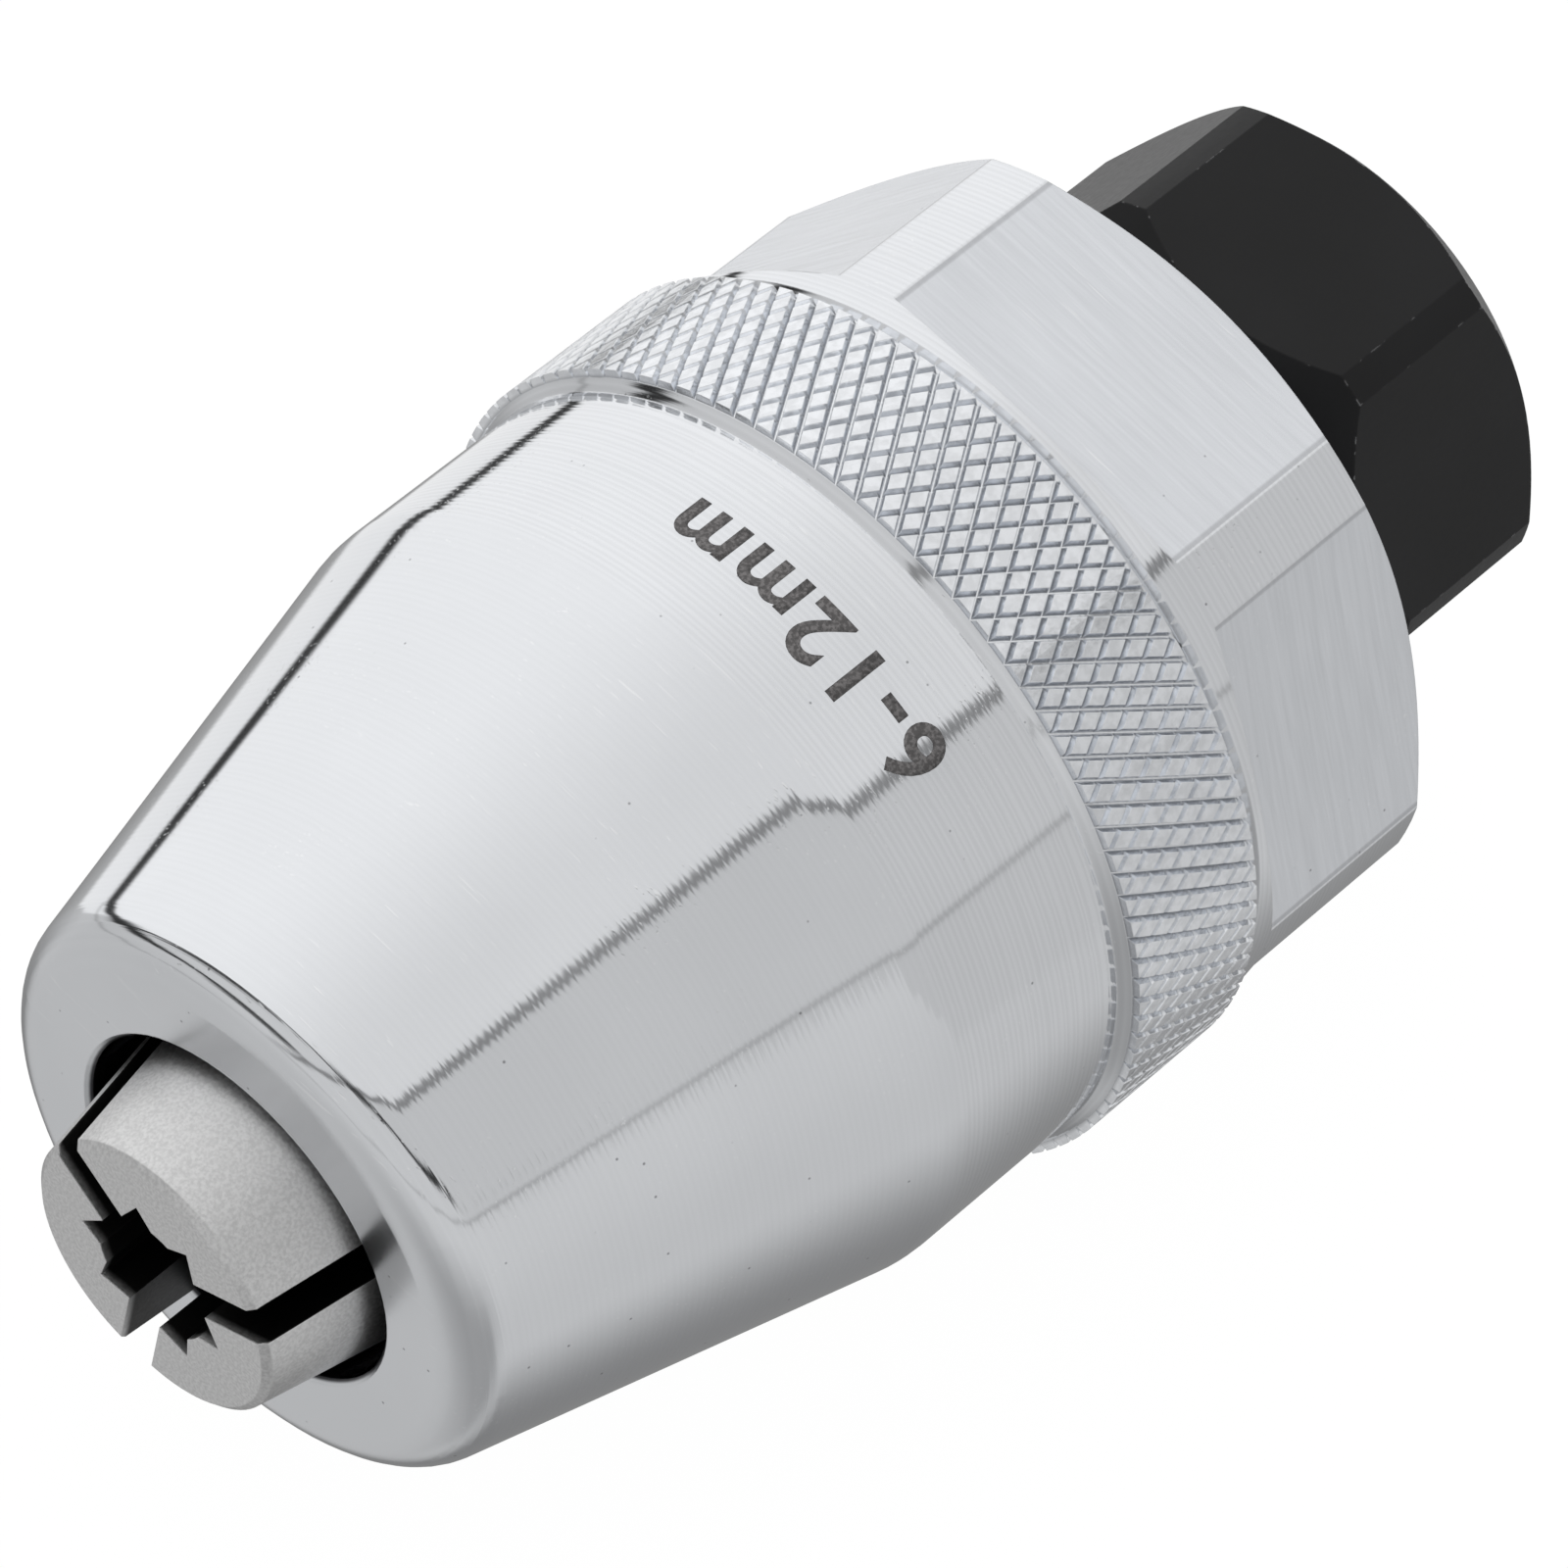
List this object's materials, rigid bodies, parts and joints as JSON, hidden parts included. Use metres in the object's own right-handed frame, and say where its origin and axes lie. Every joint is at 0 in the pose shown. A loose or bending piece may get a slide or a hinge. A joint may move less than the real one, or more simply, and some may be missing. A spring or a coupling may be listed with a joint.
{
  "type": "stud extractor",
  "caption": "Three-jaw stud extractor: tapered plated body with a knurled band and spanner flats, serrated jaws in the nose, black hexagonal drive end with a square socket.",
  "frame": {"origin": "on the tool's axis, in the plane of the jaws' front faces at rest", "axes": "+X along the axis from the jaws to the drive end, +Z square to one of the body's spanner flats and up when the tool lies on a flat, +Y makes it right-handed"},
  "size_m": [0.0862, 0.046, 0.046],
  "materials": {
    "plated_steel": "bright turned and plated",
    "black_steel": "satin black oxide",
    "jaw_steel": "matte blasted",
    "carrier_steel": "satin machined",
    "bearing_steel": "polished",
    "cage_brass": "satin"
  },
  "bodies": {
    "body": {"outer_body": "plated_steel"},
    "carrier": {"jaw_carrier": "carrier_steel", "shoulder_screw": "carrier_steel", "thrust_washer_front": "bearing_steel"},
    "cage": {"ball_cage": "cage_brass", "thrust_ball_01": "bearing_steel", "thrust_ball_02": "bearing_steel", "thrust_ball_03": "bearing_steel", "thrust_ball_04": "bearing_steel", "thrust_ball_05": "bearing_steel", "thrust_ball_06": "bearing_steel", "thrust_ball_07": "bearing_steel", "thrust_ball_08": "bearing_steel", "thrust_ball_09": "bearing_steel", "thrust_ball_10": "bearing_steel", "thrust_ball_11": "bearing_steel", "thrust_ball_12": "bearing_steel"},
    "spindle": {"drive_spindle": "black_steel", "thrust_washer_rear": "bearing_steel", "screw_washer": "cage_brass"},
    "jaw_a": {"jaw_1": "jaw_steel"},
    "jaw_b": {"jaw_2": "jaw_steel"},
    "jaw_c": {"jaw_3": "jaw_steel"}
  },
  "joints": [
    {"name": "carrier_slide", "type": "slide", "parent": "body", "child": "carrier", "axis": [1, 0, 0], "range_m": [-0.0032, 0.0128]},
    {"name": "spindle_turn", "type": "hinge", "parent": "carrier", "child": "spindle", "pos_m": [0.06, 0, 0], "axis": [1, 0, 0], "range_deg": [-1536, 384]},
    {"name": "cage_turn", "type": "hinge", "parent": "carrier", "child": "cage", "pos_m": [0.046, 0, 0], "axis": [1, 0, 0], "range_deg": [-768.01, 192.01]},
    {"name": "jaw_slide_1", "type": "slide", "parent": "body", "child": "jaw_a", "axis": [0.9829, 0.0106, 0.184], "range_m": [-0.00326, 0.01302]},
    {"name": "jaw_slide_2", "type": "slide", "parent": "body", "child": "jaw_b", "axis": [0.9829, -0.1646, -0.0828], "range_m": [-0.00326, 0.01302]},
    {"name": "jaw_slide_3", "type": "slide", "parent": "body", "child": "jaw_c", "axis": [0.9829, 0.154, -0.1012], "range_m": [-0.00326, 0.01302]}
  ],
  "couplings": [
    {"joint": "carrier_slide", "follows": "spindle_turn", "m_per_rad": -0.00047746},
    {"joint": "cage_turn", "follows": "spindle_turn", "ratio": 0.5},
    {"joint": "jaw_slide_1", "follows": "spindle_turn", "m_per_rad": -0.00048579},
    {"joint": "jaw_slide_2", "follows": "spindle_turn", "m_per_rad": -0.00048579},
    {"joint": "jaw_slide_3", "follows": "spindle_turn", "m_per_rad": -0.00048579}
  ]
}
